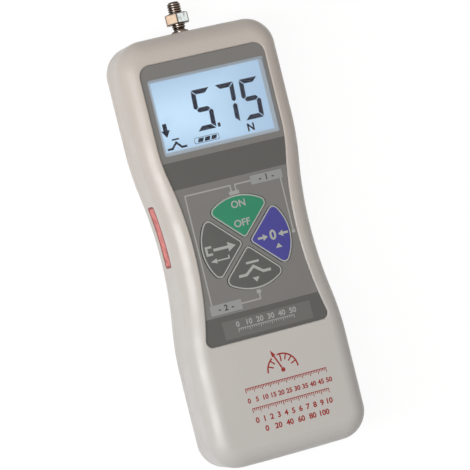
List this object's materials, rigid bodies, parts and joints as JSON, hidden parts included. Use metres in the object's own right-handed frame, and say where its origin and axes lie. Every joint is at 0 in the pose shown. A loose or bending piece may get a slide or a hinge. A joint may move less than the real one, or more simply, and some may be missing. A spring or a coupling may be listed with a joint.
{
  "type": "force gauge",
  "caption": "Handheld digital force gauge: waisted two-part housing, lit display, cross of keys, and a threaded sensor shaft with lock nut.",
  "frame": {"origin": "centre of the four stand holes, on the back face", "axes": "+Y along the body towards the sensor shaft, +Z out of the display face, +X to the right of the display"},
  "size_m": [0.073, 0.2046, 0.033],
  "materials": {
    "housing": "fine satin texture, pale warm grey",
    "red_print": "satin film, pale red",
    "screw_steel": "zinc plated",
    "insert_brass": "turned",
    "face_grey": "printed film, mid and dark grey",
    "window_clear": "clear plastic",
    "display": "lit display, pale blue",
    "backlight_white": "diffuser",
    "frame_black": "moulded",
    "board_green": "solder mask",
    "switch_black": "moulded",
    "chip_black": "moulded epoxy",
    "frame_steel": "nickel plated",
    "cell_aluminium": "machined",
    "gauge_foil": "amber film",
    "battery_sleeve": "plain sleeve",
    "contact_nickel": "nickel plated",
    "socket_black": "moulded",
    "pin_gold": "gold plated",
    "key_green": "printed film",
    "key_dark": "printed film",
    "key_blue": "printed film",
    "plunger_white": "moulded",
    "shaft_steel": "turned stainless steel",
    "nut_steel": "bright plated"
  },
  "bodies": {
    "housing": {"front_shell": "housing", "rear_cover": "housing", "side_strip": "red_print", "case_screws": "screw_steel", "mount_inserts": "insert_brass", "face_plate": "face_grey", "lcd_window": "window_clear", "lcd_panel": "display", "backlight": "backlight_white", "lcd_frame": "frame_black", "main_board": "board_green", "board_screws": "screw_steel", "tact_switches": "switch_black", "board_chips": "chip_black", "sensor_frame": "frame_steel", "load_cell": "cell_aluminium", "strain_gauges": "gauge_foil", "load_cell_screws": "screw_steel", "frame_screws": "screw_steel", "battery_holder": "frame_black", "battery_cells": "battery_sleeve", "battery_contacts": "contact_nickel", "data_socket": "socket_black", "data_pins": "pin_gold", "dc_jack": "socket_black", "jack_pin": "contact_nickel"},
    "power_key": {"key_power": "key_green", "plunger_power": "plunger_white"},
    "send_key": {"key_send": "key_dark", "plunger_send": "plunger_white"},
    "zero_key": {"key_zero": "key_blue", "plunger_zero": "plunger_white"},
    "peak_key": {"key_peak": "key_dark", "plunger_peak": "plunger_white"},
    "shaft": {"sensor_shaft": "shaft_steel"},
    "nut": {"lock_nut": "nut_steel"}
  },
  "joints": [
    {"name": "power_press", "type": "slide", "parent": "housing", "child": "power_key", "axis": [0, 0, -1], "range_m": [0, 0.0004], "stiffness_N_per_m": 800, "springref_m": -0.0004},
    {"name": "send_press", "type": "slide", "parent": "housing", "child": "send_key", "axis": [0, 0, -1], "range_m": [0, 0.0004], "stiffness_N_per_m": 800, "springref_m": -0.0004},
    {"name": "zero_press", "type": "slide", "parent": "housing", "child": "zero_key", "axis": [0, 0, -1], "range_m": [0, 0.0004], "stiffness_N_per_m": 800, "springref_m": -0.0004},
    {"name": "peak_press", "type": "slide", "parent": "housing", "child": "peak_key", "axis": [0, 0, -1], "range_m": [0, 0.0004], "stiffness_N_per_m": 800, "springref_m": -0.0004},
    {"name": "shaft_deflection", "type": "slide", "parent": "housing", "child": "shaft", "axis": [0, 1, 0], "range_m": [-0.0003, 0.0003], "stiffness_N_per_m": 4000, "deforming": ["load_cell"]},
    {"name": "nut_turn", "type": "hinge", "parent": "shaft", "child": "nut", "pos_m": [0, 0.102, 0.012], "axis": [0, 1, 0], "continuous": true}
  ]
}
